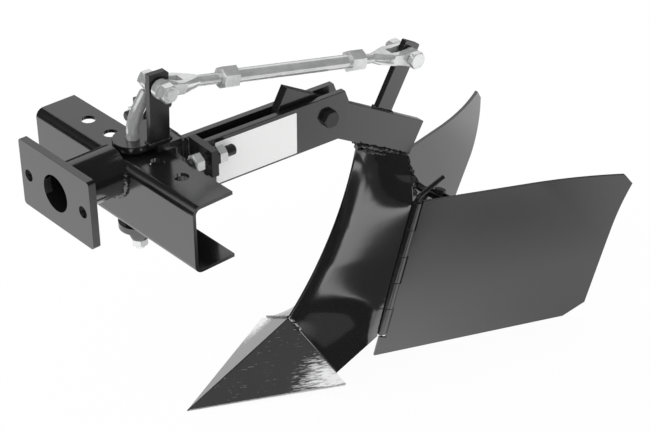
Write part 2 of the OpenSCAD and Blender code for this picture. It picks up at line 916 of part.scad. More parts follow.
// A leg from the top knuckle to a strap that meets its twin behind the breast
module spread_lug(side) {
    strap_y = quad_r * cos(clamp_in);
    strap_x = -quad_r * sin(clamp_in);
    inner = hinge_at(quad_v)[0] / cos(hinge_cant) - 0.1;
    leg = strap_y - strap_half;
    color(paint) on_hinge(side) translate([0, 0, quad_v - quad_gap - quad_t]) difference() {
        linear_extrude(quad_t) polygon([
            [1, 3], [-8, 3], [-inner + 8, leg], [-inner, leg], [-inner, strap_y + strap_half],
            [strap_x + strap_half, strap_y + strap_half], [strap_x + strap_half, leg], [-inner + 22, leg]
        ]);
        translate([0, 0, -1]) cylinder(d = knuckle_d, h = quad_t + 2);
        clamp_place() translate([0, 0, -1]) cylinder(d = clamp_d + 2 * run_fit, h = quad_t + 2);
    }
}

module left_spread_lug() {
    spread_lug(1);
}

module right_spread_lug() {
    spread_lug(-1);
}

module clamp_bolt(side) {
    nut_low = quad_v - quad_gap - quad_t - nut_height(clamp_d) - tail_stub;
    head_z = quad_v + quad_t + quad_gap;
    color(paint) on_hinge(side) clamp_place() {
        translate([0, 0, nut_low]) cylinder(d = clamp_d, h = head_z - nut_low);
        translate([0, 0, head_z]) hex_turned(nut_flats(clamp_d), head_height(clamp_d));
    }
}

module left_clamp_bolt() {
    clamp_bolt(1);
}

module right_clamp_bolt() {
    clamp_bolt(-1);
}

module clamp_nut(side) {
    color(paint) on_hinge(side) clamp_place() translate([0, 0, quad_v - quad_gap - quad_t])
        mirror([0, 0, 1]) nut(clamp_d, nut_flats(clamp_d), nut_height(clamp_d));
}

module left_clamp_nut() {
    clamp_nut(1);
}

module right_clamp_nut() {
    clamp_nut(-1);
}

// Arc-slotted quadrant, turning about the hinge line with its wing
module quadrant(side) {
    r_in = quad_r - 11;
    r_out = quad_r + 8;
    slot_half = clamp_d / 2 + 0.4;
    sector = quad_mid + quad_travel + 10;
    color(paint) on_wing(side) translate([0, 0, quad_v]) difference() {
        linear_extrude(quad_t) difference() {
            intersection() {
                circle(r_out);
                translate([-2 * r_out - wing_t / 2, 0]) square(2 * r_out);
                rotate([0, 0, sector]) translate([0, -2 * r_out]) square(4 * r_out);
            }
            circle(r_in);
        }
        rotate([0, 0, 90 + quad_mid - quad_travel]) translate([0, 0, -1])
            rotate_extrude(angle = 2 * quad_travel)
                translate([quad_r - slot_half, 0]) square([2 * slot_half, quad_t + 2]);
        for (a = [-1, 1]) rotate([0, 0, quad_mid + a * quad_travel])
            translate([0, quad_r, -1]) cylinder(r = slot_half + 0.35, h = quad_t + 2);
    }
}

module left_quadrant() {
    quadrant(1);
}

module right_quadrant() {
    quadrant(-1);
}

// Wing outline along its chord and its hinge line
module wing_outline(slope) {
    heel = foot_low + slope * wing_foot;
    toe_high = knuckle_low - toe_gap;
    polygon([
        [wing_edge, toe_high], [-toe_reach, toe_high], [-toe_reach, foot_low - slope * toe_reach],
        [wing_foot, heel],
        [wing_foot + heel_cut[0], heel + heel_cut[1]], [wing_len - 3.5, 0.69 * wing_high],
        [wing_len - 3, wing_high - 10], [wing_len - tip_cut, wing_high], [wing_edge, wing_front]
    ]);
}

module knuckle_tabs() {
    for (k = [1 : 2 : knuckle_count - 1])
        translate([0, knuckle_low + k * knuckle_step + 1])
            square([wing_edge + 1, knuckle_step - 2]);
}

// Fold line of the rolled corner, across the wing's chord and hinge line
roll_start = 0.525 * wing_len;
roll_from = [roll_start, wing_front + (wing_high - wing_front) * roll_start / (wing_len - tip_cut)];
roll_to = [wing_len, 0.64 * wing_high];
roll_turn = atan2(roll_to[1] - roll_from[1], roll_to[0] - roll_from[0]);

module past_roll() {
    translate(roll_from) rotate(roll_turn) translate([-wing_len, 0]) square(2 * wing_len);
}

module wing_plate(side) {
    color(paint) on_wing(side) difference() {
        union() {
            along_x(-wing_t / 2, wing_t) difference() {
                union() {
                    wing_outline(foot_slope(side));
                    knuckle_tabs();
                }
                past_roll();
            }
            intersection() {
                along_x(-wing_t, 20 * wing_t) intersection() {
                    wing_outline(foot_slope(side));
                    past_roll();
                }
                rotate([90, 0, 90]) translate(roll_from) rotate([0, 0, roll_turn])
                    translate([-wing_len, 0, wing_t / 2 + roll_r]) rotate([0, 90, 0]) difference() {
                        cylinder(r = roll_r + wing_t, h = 2 * wing_len, $fn = 180);
                        translate([0, 0, -1]) cylinder(r = roll_r, h = 2 * wing_len + 2, $fn = 180);
                    }
            }
        }
        translate([0, 0, knuckle_low - toe_gap]) cylinder(d = knuckle_d, h = knuckle_high);
    }
}

module left_wing() {
    wing_plate(1);
}

module right_wing() {
    wing_plate(-1);
}

// Turnbuckle
module fork_bore() {
    rotate([0, 0, link_skew])
        rod_x(fork_pin_d + 2 * run_fit, -2 * fork_r - fork_gap, 2 * fork_r + fork_gap);
}

// Forged fork, with its pin at the origin and its shank along +Y
module fork(shank_d, bare) {
    half_w = fork_gap / 2 + fork_ear;
    shank_end = fork_len + bare + lock_t + shank_in;
    taper_y = fork_slot + 4;
    prong = 0.6 * fork_r;
    difference() {
        union() {
            intersection() {
                rotate([-90, 0, 0]) rotate_extrude() polygon([
                    [0, -fork_r], [half_w + 1, -fork_r], [half_w + 1, taper_y - 6],
                    [half_w - 3, taper_y + 4], [shank_d / 2 + 1.5, fork_len - 4], [shank_d / 2, fork_len],
                    [0, fork_len]
                ]);
                along_x(-half_w, 2 * half_w) {
                    circle(fork_r);
                    polygon([
                        [0, -0.96 * fork_r], [0.7 * fork_slot, -prong], [fork_len, -prong],
                        [fork_len, prong], [0.7 * fork_slot, prong], [0, 0.96 * fork_r]
                    ]);
                }
            }
            rod_y(shank_d, fork_len - 1, shank_end);
        }
        along_x(-fork_gap / 2, fork_gap) translate([-fork_r - 1, -fork_r - 1])
            square([fork_slot + fork_r + 1, 2 * fork_r + 2]);
        fork_bore();
    }
}

module front_fork() {
    color(zinc) on_link() fork(front_shank_d, front_bare);
}

module rear_fork() {
    color(zinc) on_link() translate([0, link_len, 0]) rotate([0, 0, 180])
        fork(rear_shank_d, rear_bare);
}

// A clevis bolt across the link; dir is the side of its head
module clevis_bolt(dir) {
    reach = fork_gap / 2 + fork_ear + 1.2;
    tail = reach + nut_height(fork_pin_d) + tail_stub;
    rod_x(fork_pin_d, dir > 0 ? -tail : -reach, dir > 0 ? reach : tail);
    translate([dir * reach, 0, 0]) rotate([0, dir * 90, 0])
        hex_turned(nut_flats(fork_pin_d), head_height(fork_pin_d));
}

module clevis_nut(dir) {
    reach = fork_gap / 2 + fork_ear + 1.2;
    translate([-dir * reach, 0, 0]) rotate([0, -dir * 90, 0])
        nut(fork_pin_d, nut_flats(fork_pin_d), nut_height(fork_pin_d));
}

module front_clevis_bolt() {
    color(zinc) on_swing() translate(front_pin) clevis_bolt(-1);
}

module front_clevis_nut() {
    color(zinc) on_swing() translate(front_pin) clevis_nut(-1);
}

module rear_clevis_bolt() {
    color(zinc) on_swing() translate(rear_pin) clevis_bolt(1);
}

module rear_clevis_nut() {
    color(zinc) on_swing() translate(rear_pin) clevis_nut(1);
}

module front_lock_nut() {
    color(zinc) on_link() translate([0, sleeve_start - slip, 0]) rotate([90, 0, 0])
        nut(front_shank_d, sleeve_hex, lock_t);
}

module turnbuckle_sleeve() {
    color(zinc) on_link() difference() {
        union() {
            rod_y(sleeve_d, sleeve_start, sleeve_stop);
            for (y = [sleeve_start, sleeve_stop - sleeve_end])
                translate([0, y, 0]) rotate([-90, 0, 0]) hex(sleeve_hex, sleeve_end);
        }
        rod_y(front_shank_d + 2 * run_fit, sleeve_start - 1, link_len / 2);
        rod_y(rear_shank_d + 2 * rear_play, link_len / 2 - 1, sleeve_stop + 1);
    }
}

module rear_lock_nut() {
    color(zinc) on_link() translate([0, sleeve_stop, 0]) rotate([-90, 0, 0]) difference() {
        hex_turned(sleeve_hex, lock_t);
        translate([0, 0, -1]) cylinder(d = rear_shank_d + 2 * rear_play, h = lock_t + 2);
    }
}

hitch_plate();
hitch_tube();
cross_channel();
kingpin();
king_collar();
king_nut();
top_spacer();
bottom_spacer();
yoke_top_plate();
yoke_bottom_plate();
yoke_back_plate();
left_lug();
right_lug();
mast_post();
left_side_bar();
right_side_bar();
left_stop();
left_stop_front_nut();
left_stop_rear_nut();
right_stop();
right_stop_front_nut();
right_stop_rear_nut();
pivot_bolt();
pivot_nut();
left_pivot_washer();
right_pivot_washer();
share_bar();
link_strut();
left_flank();
right_flank();
share_point();
left_hinge_knuckles();
right_hinge_knuckles();
left_hinge_pin();
right_hinge_pin();
left_spread_lug();
right_spread_lug();
left_clamp_bolt();
right_clamp_bolt();
left_clamp_nut();
right_clamp_nut();
left_wing();
right_wing();
left_wing_knuckles();
right_wing_knuckles();
left_quadrant();
right_quadrant();
front_fork();
front_clevis_bolt();
front_clevis_nut();
front_lock_nut();
turnbuckle_sleeve();
rear_lock_nut();
rear_fork();
rear_clevis_bolt();
rear_clevis_nut();
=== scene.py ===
import json
import math
import random

import bpy
from mathutils import Matrix, Vector


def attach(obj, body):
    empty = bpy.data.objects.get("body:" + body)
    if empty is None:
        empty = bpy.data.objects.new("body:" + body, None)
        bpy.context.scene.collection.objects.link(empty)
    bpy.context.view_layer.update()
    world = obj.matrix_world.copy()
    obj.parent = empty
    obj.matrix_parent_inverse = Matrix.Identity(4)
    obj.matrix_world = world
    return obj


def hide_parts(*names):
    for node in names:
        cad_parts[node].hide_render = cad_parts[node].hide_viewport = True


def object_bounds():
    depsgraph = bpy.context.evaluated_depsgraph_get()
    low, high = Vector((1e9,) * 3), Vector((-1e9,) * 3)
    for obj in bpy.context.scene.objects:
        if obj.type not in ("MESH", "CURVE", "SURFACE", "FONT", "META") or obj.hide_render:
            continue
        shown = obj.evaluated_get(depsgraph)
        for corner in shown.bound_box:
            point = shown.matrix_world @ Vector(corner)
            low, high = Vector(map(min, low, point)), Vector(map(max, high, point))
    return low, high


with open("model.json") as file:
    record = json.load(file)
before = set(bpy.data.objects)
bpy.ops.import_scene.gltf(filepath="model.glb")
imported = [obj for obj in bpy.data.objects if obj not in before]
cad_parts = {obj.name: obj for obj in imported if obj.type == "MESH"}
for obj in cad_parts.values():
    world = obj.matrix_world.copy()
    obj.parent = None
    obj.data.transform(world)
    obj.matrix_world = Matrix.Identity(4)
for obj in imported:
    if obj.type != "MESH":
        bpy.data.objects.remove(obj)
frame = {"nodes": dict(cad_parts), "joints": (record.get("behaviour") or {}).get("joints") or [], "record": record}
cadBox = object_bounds()
nodes = frame["nodes"]
record = frame["record"]
joints = {joint["name"]: joint for joint in frame["joints"]}
slotOf = {part["node"]: part["material_slot"] for part in record["subparts"]}
bodyOf = {node: body for body, members in record["behaviour"]["bodies"].items() for node in members}
mm = 0.001
print("frame loaded:", len(nodes), "nodes")

# the beam's own axes: lateral to the left, rearward along the beam
kingpinFoot = Vector(joints["swing"]["pos_m"])
lateral = Vector(joints["share_tilt"]["axis"]).normalized()
upward = Vector((0, 0, 1))
rearward = upward.cross(lateral)
beamCentre = 40  # mm from the kingpin to the beam's centre plane


def beamPoint(x, y, z):
    return kingpinFoot + (lateral * x + rearward * y + upward * z) * mm


# a place beside the beam's centre plane: side is 1 on the left and -1 on the right
def besideBeam(side, x, y, z):
    return beamPoint(beamCentre + side * x, y, z)


# photograph's view, worked out for a 650 by 433 frame, in mm and degrees
photoView = {
    "azimuth": 47.89,
    "elevation": 32.37,
    "focalPixels": 1688.9,
    "frameWidth": 650,
    "aside": 279.5,
    "above": -23.7,
    "distance": 1750.8,
    "sensor": 36.0,
    "farthest": 20000,
}


def placeCamera(view):
    turn = math.radians(view["azimuth"])
    rise = math.radians(view["elevation"])
    right = Vector((math.cos(turn), math.sin(turn), 0))
    back = Vector((math.sin(turn) * math.cos(rise), -math.cos(turn) * math.cos(rise), math.sin(rise)))
    above = back.cross(right)
    place = (right * view["aside"] + above * view["above"] + back * view["distance"]) * mm
    bpy.ops.object.camera_add(location=place)
    camera = bpy.context.object
    camera.name = "photoCamera"
    camera.rotation_euler = Matrix((right, above, back)).transposed().to_euler()
    camera.data.sensor_fit = "HORIZONTAL"
    camera.data.sensor_width = view["sensor"]
    camera.data.lens = view["sensor"] * view["focalPixels"] / view["frameWidth"]
    camera.data.clip_end = view["farthest"] * mm
    bpy.context.scene.camera = camera


placeCamera(photoView)
print("camera placed")


# shader node helpers
def newMaterial(name):
    material = bpy.data.materials.new(name)
    material.use_nodes = True
    tree = material.node_tree
    shader = tree.nodes["Principled BSDF"]
    coords = tree.nodes.new("ShaderNodeTexCoord")
    return material, tree, shader, coords.outputs["Object"]


def newGroup(name, inputs, outputs):
    group = bpy.data.node_groups.new(name, "ShaderNodeTree")
    group.interface.new_socket("Vector", in_out="INPUT", socket_type="NodeSocketVector")
    for key, value in inputs.items():
        socket = group.interface.new_socket(key, in_out="INPUT", socket_type="NodeSocketFloat")
        socket.default_value = value
    for key in outputs:
        group.interface.new_socket(key, in_out="OUTPUT", socket_type="NodeSocketFloat")
    return group, group.nodes.new("NodeGroupInput"), group.nodes.new("NodeGroupOutput")


def addGroup(tree, group, vector, **values):
    node = tree.nodes.new("ShaderNodeGroup")
    node.node_tree = group
    tree.links.new(vector, node.inputs["Vector"])
    for key, value in values.items():
        node.inputs[key].default_value = value
    return node


def noise(tree, vector, scale, detail, rough):
    node = tree.nodes.new("ShaderNodeTexNoise")
    tree.links.new(vector, node.inputs["Vector"])
    if isinstance(scale, (int, float)):
        node.inputs["Scale"].default_value = scale
    else:
        tree.links.new(scale, node.inputs["Scale"])
    node.inputs["Detail"].default_value = detail
    node.inputs["Roughness"].default_value = rough
    return node.outputs["Fac"]


def remap(tree, value, low, high, toLow=0.0, toHigh=1.0):
    node = tree.nodes.new("ShaderNodeMapRange")
    tree.links.new(value, node.inputs["Value"])
    for key, number in (("From Min", low), ("From Max", high), ("To Min", toLow), ("To Max", toHigh)):
        node.inputs[key].default_value = number
    return node.outputs["Result"]


def mathNode(tree, operation, first, second):
    node = tree.nodes.new("ShaderNodeMath")
    node.operation = operation
    for socket, value in zip(node.inputs, (first, second)):
        if isinstance(value, (int, float)):
            socket.default_value = value
        else:
            tree.links.new(value, socket)
    return node.outputs["Value"]


# a Mix node's colour sockets share their names with its other kinds, so they go by number
def mixColor(tree, factor, first, second):
    node = tree.nodes.new("ShaderNodeMix")
    node.data_type = "RGBA"
    tree.links.new(factor, node.inputs["Factor"])
    for socket, value in ((node.inputs[6], first), (node.inputs[7], second)):
        if isinstance(value, tuple):
            socket.default_value = (*value, 1)
        else:
            tree.links.new(value, socket)
    return node.outputs[2]


def addBump(tree, shader, height, strength, distance):
    bump = tree.nodes.new("ShaderNodeBump")
    bump.inputs["Strength"].default_value = strength
    bump.inputs["Distance"].default_value = distance
    tree.links.new(height, bump.inputs["Height"])
    tree.links.new(bump.outputs["Normal"], shader.inputs["Normal"])


# distance from an oval's centre, which is 1 on its rim
def ovalDistance(tree, vector, centre, radii):
    place = tree.nodes.new("ShaderNodeMapping")
    place.vector_type = "TEXTURE"
    tree.links.new(vector, place.inputs["Vector"])
    place.inputs["Location"].default_value = centre
    place.inputs["Scale"].default_value = radii
    away = tree.nodes.new("ShaderNodeVectorMath")
    away.operation = "LENGTH"
    tree.links.new(place.outputs["Vector"], away.inputs[0])
    return away.outputs["Value"]


# orange peel over long waves, soft cloudiness and specks of dust in a powder coat
# a noise is scale, detail and roughness, and a range is where its mask starts and where it is full
coatGrain = {
    "peel": (900.0, 1.5, 0.4),
    "wave": (120.0, 1.0, 0.4),
    "waveHeight": 3.0,
    "cloud": (9.0, 3.0, 0.55),
    "cloudRange": (0.3, 0.7),
    "specks": (1400.0, 1.0, 0.5),
    "speckRange": (0.71, 0.76),
    "dust": (0.03, 0.03, 0.03),
    "depth": 0.00006,
}


def powderCoatGroup():
    grain = coatGrain
    inputs = {"Peel": grain["peel"][0], "Cloud": grain["cloud"][0]}
    group, start, end = newGroup("powderCoat", inputs, ("Height", "Cloudiness", "Dust"))
    vector = start.outputs["Vector"]
    peel = noise(group, vector, start.outputs["Peel"], *grain["peel"][1:])
    wave = mathNode(group, "MULTIPLY", noise(group, vector, *grain["wave"]), grain["waveHeight"])
    group.links.new(mathNode(group, "ADD", peel, wave), end.inputs["Height"])
    cloud = noise(group, vector, start.outputs["Cloud"], *grain["cloud"][1:])
    group.links.new(remap(group, cloud, *grain["cloudRange"]), end.inputs["Cloudiness"])
    specks = noise(group, vector, *grain["specks"])
    group.links.new(remap(group, specks, *grain["speckRange"]), end.inputs["Dust"])
    return group


# rubbed streaks along the share's left cutting edge: how fine they are per metre, across, along and up
scuffGrain = {
    "fineness": (110, 14, 110),
    "turn": -30.7,
    "streak": (6.0, 4.0, 0.6),
    "patch": (26.0, 3.0, 0.6),
    "threshold": 0.5,
    "fade": 0.09,
}


def scuffGroup():
    grain = scuffGrain
    group, start, end = newGroup("scuffMarks", {"Amount": 1.0}, ("Scuff", "Grain"))
    stretch = group.nodes.new("ShaderNodeMapping")
    stretch.vector_type = "TEXTURE"
    stretch.inputs["Scale"].default_value = [1 / fine for fine in grain["fineness"]]
    stretch.inputs["Rotation"].default_value = (0, 0, math.radians(grain["turn"]))
    group.links.new(start.outputs["Vector"], stretch.inputs["Vector"])
    streak = noise(group, stretch.outputs["Vector"], *grain["streak"])
    patch = noise(group, start.outputs["Vector"], *grain["patch"])
    joined = mathNode(group, "MULTIPLY", streak, patch)
    low = mathNode(group, "MULTIPLY", start.outputs["Amount"], grain["threshold"])
    over = mathNode(group, "SUBTRACT", joined, low)
    group.links.new(remap(group, over, 0.0, grain["fade"]), end.inputs["Scuff"])
    group.links.new(streak, end.inputs["Grain"])
    return group


# crystal spangle, pits and stains of zinc plate
zincGrain = {
    "spangle": 260.0,
    "pits": (700.0, 3.0, 0.6),
    "pitting": 0.35,
    "depth": 0.00012,
    "stain": (60.0, 4.0, 0.6),
    "stainRange": (0.4, 0.7),
    "stained": 0.86,
    "metallic": 0.68,
}


def zincGroup():
    grain = zincGrain
    group, start, end = newGroup("zincPlate", {"Spangle": grain["spangle"]}, ("Tone", "Height", "Stain"))
    vector = start.outputs["Vector"]
    cells = group.nodes.new("ShaderNodeTexVoronoi")
    group.links.new(vector, cells.inputs["Vector"])
    group.links.new(start.outputs["Spangle"], cells.inputs["Scale"])
    tint = group.nodes.new("ShaderNodeSeparateColor")
    group.links.new(cells.outputs["Color"], tint.inputs["Color"])
    group.links.new(tint.outputs["Red"], end.inputs["Tone"])
    group.links.new(noise(group, vector, *grain["pits"]), end.inputs["Height"])
    stain = noise(group, vector, *grain["stain"])
    group.links.new(remap(group, stain, *grain["stainRange"]), end.inputs["Stain"])
    return group


powderCoat = powderCoatGroup()
scuffMarks = scuffGroup()
zincPlate = zincGroup()


# coats: darkest and palest tone, roughness, strength of the peel, and gloss as an index of refraction
paints = {
    "glossBlackPaint": {
        "dark": (0.006, 0.006, 0.0065),
        "pale": (0.009, 0.009, 0.0095),
        "rough": (0.12, 0.2),
        "peel": 0.15,
        "gloss": 2.2,
    },
    "breastPaint": {
        "dark": (0.006, 0.006, 0.0065),
        "pale": (0.009, 0.009, 0.0095),
        "rough": (0.08, 0.13),
        "peel": 0.1,
        "gloss": 2.6,
    },
    "mastPaint": {
        "dark": (0.006, 0.006, 0.0065),
        "pale": (0.011, 0.011, 0.0115),
        "rough": (0.14, 0.24),
        "peel": 0.2,
        "gloss": 1.7,
    },
    "shearedEdgePaint": {
        "dark": (0.012, 0.012, 0.0125),
        "pale": (0.03, 0.03, 0.031),
        "rough": (0.42, 0.6),
        "peel": 0.8,
        "gloss": 2.2,
    },
    "blackOxide": {
        "dark": (0.012, 0.012, 0.013),
        "pale": (0.022, 0.022, 0.023),
        "rough": (0.28, 0.42),
        "peel": 0.5,
        "gloss": 1.7,
    },
    "paintedWeld": {
        "dark": (0.006, 0.006, 0.007),
        "pale": (0.012, 0.012, 0.013),
        "rough": (0.07, 0.18),
        "peel": 0.4,
        "gloss": 2.2,
    },
}


def layCoat(tree, shader, vector, paint):
    shader.inputs["IOR"].default_value = paint["gloss"]
    coat = addGroup(tree, powderCoat, vector)
    addBump(tree, shader, coat.outputs["Height"], paint["peel"], coatGrain["depth"])
    return coat


def glossPaint(name):
    paint = paints[name]
    material, tree, shader, vector = newMaterial(name)
    coat = layCoat(tree, shader, vector, paint)
    base = mixColor(tree, coat.outputs["Cloudiness"], paint["dark"], paint["pale"])
    dusted = mixColor(tree, coat.outputs["Dust"], base, coatGrain["dust"])
    tree.links.new(dusted, shader.inputs["Base Color"])
    rough = remap(tree, coat.outputs["Cloudiness"], 0.0, 1.0, *paint["rough"])
    tree.links.new(rough, shader.inputs["Roughness"])
    return material


# the share's paint and its scuffs, with ovals of painted highlight at its rear corners that the streaks break up
# like rubbed steel, placed in mm, with radii in metres
shareWearAndHighlight = {
    "dark": (0.006, 0.006, 0.0065),
    "pale": (0.013, 0.013, 0.0135),
    "bare": (0.92, 0.92, 0.925),
    "rough": (0.2, 0.42),
    "peel": 0.3,
    "gloss": 2.2,
    "scuffs": 0.95,
    "centre": (72, 188, -311),
    "radii": (0.036, 0.056, 0.026),
    "reach": (0.1, 1.3),
    "weight": 0.5,
    "streaks": (0.64, 0.92),
}


def scuffedPaint():
    share = shareWearAndHighlight
    material, tree, shader, vector = newMaterial("scuffedSharePaint")
    coat = layCoat(tree, shader, vector, share)
    base = mixColor(tree, coat.outputs["Cloudiness"], share["dark"], share["pale"])
    marks = addGroup(tree, scuffMarks, vector, Amount=share["scuffs"])
    # painted highlight: a bright oval at each rear corner of the share, streaked by the scuff grain
    cornerHighlight = 0.0
    for side in (1, -1):
        away = ovalDistance(tree, vector, besideBeam(side, *share["centre"]), share["radii"])
        cornerHighlight = mathNode(tree, "MAXIMUM", remap(tree, away, *share["reach"], 1.0, 0.0), cornerHighlight)
    weighted = mathNode(tree, "MULTIPLY", cornerHighlight, share["weight"])
    streaked = mathNode(tree, "ADD", weighted, marks.outputs["Grain"])
    highlighted = remap(tree, streaked, *share["streaks"])
    # the bright colour goes on the real scuffs and on the painted highlight alike
    scuffAndHighlight = mathNode(tree, "MAXIMUM", marks.outputs["Scuff"], highlighted)
    tree.links.new(mixColor(tree, scuffAndHighlight, base, share["bare"]), shader.inputs["Base Color"])
    tree.links.new(remap(tree, scuffAndHighlight, 0.0, 1.0, *share["rough"]), shader.inputs["Roughness"])
    return material


# zinc and bare steel: tones of the spangle and roughness
platings = {
    "brightZinc": {"dark": (0.92, 0.925, 0.93), "pale": (0.985, 0.988, 0.99), "rough": (0.12, 0.22)},
    "rubbedSteel": {"dark": (0.62, 0.62, 0.625), "pale": (0.8, 0.8, 0.805), "rough": (0.25, 0.38)},
}


def platedMetal(name):
    plating = platings[name]
    material, tree, shader, vector = newMaterial(name)
    plate = addGroup(tree, zincPlate, vector)
    tone = mixColor(tree, plate.outputs["Tone"], plating["dark"], plating["pale"])
    dull = tuple(zincGrain["stained"] * channel for channel in plating["dark"])
    stained = mixColor(tree, plate.outputs["Stain"], tone, dull)
    tree.links.new(stained, shader.inputs["Base Color"])
    shader.inputs["Metallic"].default_value = zincGrain["metallic"]
    rough = remap(tree, plate.outputs["Tone"], 0.0, 1.0, *plating["rough"])
    tree.links.new(rough, shader.inputs["Roughness"])
    addBump(tree, shader, plate.outputs["Height"], zincGrain["pitting"], zincGrain["depth"])
    return material


# weld with painted glints: bright, partly metallic spots in its black paint
weldGlints = {
    "spots": (330.0, 2.0, 0.5),
    "spotRange": (0.5, 0.6),
    "paint": (0.012, 0.012, 0.013),
    "steel": (0.85, 0.85, 0.855),
    "metallic": 0.6,
    "rough": (0.12, 0.26),
}


def rubbedWeld():
    weld = weldGlints
    material, tree, shader, vector = newMaterial("rubbedWeld")
    # painted glints: bright spots from a noise mask
    bare = remap(tree, noise(tree, vector, *weld["spots"]), *weld["spotRange"])
    tree.links.new(mixColor(tree, bare, weld["paint"], weld["steel"]), shader.inputs["Base Color"])
    tree.links.new(remap(tree, bare, 0.0, 1.0, 0.0, weld["metallic"]), shader.inputs["Metallic"])
    tree.links.new(remap(tree, bare, 0.0, 1.0, *weld["rough"]), shader.inputs["Roughness"])
    return material


paperGrain = {
    "fibre": (1500.0, 2.0, 0.5),
    "dark": (0.86, 0.86, 0.86),
    "pale": (0.91, 0.91, 0.905),
    "rough": (0.3, 0.42),
    "bump": 0.15,
    "depth": 0.00003,
}


def labelPaper():
    grain = paperGrain
    material, tree, shader, vector = newMaterial("blankLabel")
    fibre = noise(tree, vector, *grain["fibre"])
    tree.links.new(mixColor(tree, fibre, grain["dark"], grain["pale"]), shader.inputs["Base Color"])
    tree.links.new(remap(tree, fibre, 0.0, 1.0, *grain["rough"]), shader.inputs["Roughness"])
    addBump(tree, shader, fibre, grain["bump"], grain["depth"])
    return material


blackPaint = glossPaint("glossBlackPaint")
breastPaint = glossPaint("breastPaint")
mastPaint = glossPaint("mastPaint")
shearedPaint = glossPaint("shearedEdgePaint")
blackOxide = glossPaint("blackOxide")
weldPaint = glossPaint("paintedWeld")
sharePaint = scuffedPaint()
zinc = platedMetal("brightZinc")
brightEdge = platedMetal("rubbedSteel")
glintWeld = rubbedWeld()
paper = labelPaper()
finishOf = {
    "black_paint": blackPaint,
    "black_fastener": blackOxide,
    "share_steel": sharePaint,
    "zinc": zinc,
}
print("materials made:", len(bpy.data.materials))


def wear(width, *names):
    return {name: width for name in names}


# edge softening: node name to bevel width in mm
edgeRadius = {
    **wear(1.0, "hitch_plate", "cross_channel", "share_bar", "link_strut", "mast_post"),
    **wear(1.0, "left_side_bar", "right_side_bar", "left_lug", "right_lug"),
    **wear(0.9, "yoke_top_plate", "yoke_bottom_plate", "yoke_back_plate"),
    **wear(1.4, "share_point"),
    **wear(0.7, "left_wing", "right_wing", "left_spread_lug", "right_spread_lug"),
    **wear(0.6, "left_quadrant", "right_quadrant", "king_collar", "top_spacer", "bottom_spacer"),
    **wear(1.2, "front_fork", "rear_fork"),
    **wear(0.5, "turnbuckle_sleeve", "front_lock_nut", "rear_lock_nut", "pivot_bolt", "pivot_nut"),
    **wear(0.5, "front_clevis_bolt", "front_clevis_nut", "rear_clevis_bolt", "rear_clevis_nut"),
    **wear(0.5, "left_stop_front_nut", "left_stop_rear_nut"),
    **wear(0.5, "right_stop_front_nut", "right_stop_rear_nut"),
    **wear(0.5, "king_nut", "left_clamp_bolt", "right_clamp_bolt", "left_clamp_nut", "right_clamp_nut"),
    **wear(0.4, "left_hinge_knuckles", "right_hinge_knuckles"),
    **wear(0.4, "left_wing_knuckles", "right_wing_knuckles"),
    **wear(0.5, "hitch_tube", "left_pivot_washer", "right_pivot_washer"),
}
smoothOnly = ("kingpin", "left_hinge_pin", "right_hinge_pin", "left_stop", "right_stop")
# angles in degrees: what counts as flat, what gets a bevel, and what is shaded smooth; merge in metres
edgeFinish = {"merge": 0.000002, "flat": 0.6, "bevelFrom": 32, "segments": 2, "smoothTo": 34}


def camelName(node):
    words = node.split("_")
    return words[0] + "".join(word.capitalize() for word in words[1:])


# a merged copy of a CAD node, left in edit mode with all of it selected
def copyOfNode(node):
    piece = bpy.data.objects.new(camelName(node), nodes[node].data.copy())
    bpy.context.scene.collection.objects.link(piece)
    bpy.ops.object.select_all(action="DESELECT")
    piece.select_set(True)
    bpy.context.view_layer.objects.active = piece
    bpy.ops.object.mode_set(mode="EDIT")
    bpy.ops.mesh.select_all(action="SELECT")
    bpy.ops.mesh.remove_doubles(threshold=edgeFinish["merge"])
    bpy.ops.mesh.customdata_custom_splitnormals_clear()
    return piece


def shadeByAngle():
    bpy.ops.object.shade_smooth_by_angle(angle=math.radians(edgeFinish["smoothTo"]))


def useFor(piece, node):
    piece.data.materials.clear()
    piece.data.materials.append(finishOf[slotOf[node]])
    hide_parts(node)
    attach(piece, bodyOf[node])


def softened(node, width):
    piece = copyOfNode(node)
    bpy.ops.mesh.dissolve_limited(angle_limit=math.radians(edgeFinish["flat"]))
    bpy.ops.object.mode_set(mode="OBJECT")
    bevel = piece.modifiers.new("edges", "BEVEL")
    bevel.width = width * mm
    bevel.segments = edgeFinish["segments"]
    bevel.limit_method = "ANGLE"
    bevel.angle_limit = math.radians(edgeFinish["bevelFrom"])
    bpy.ops.object.modifier_apply(modifier="edges")
    shadeByAngle()
    flat = piece.modifiers.new("flats", "WEIGHTED_NORMAL")
    flat.keep_sharp = True
    bpy.ops.object.modifier_apply(modifier="flats")
    useFor(piece, node)


def smoothed(node):
    piece = copyOfNode(node)
    bpy.ops.object.mode_set(mode="OBJECT")
    shadeByAngle()
    useFor(piece, node)


# rolled nose of the breast: the plates swell beside the fold and flatten towards the hinge, in mm
rolledNose = {
    "fold": 1.6,
    "crown": 8.5,
    "hinge": 46,
    "swell": 2.6,
    "foot": (-262, -205),
    "outward": 0.8,
    "forward": 0.6,
}
# the sheet's finer mesh: angles in degrees within which triangles pair up, cuts, and rounds of smoothing
flankMesh = {"flatness": 50, "skew": 60, "cuts": 2, "rounds": 200}


def ramp(value, low, high):
    return min(1, max(0, (value - low) / (high - low)))


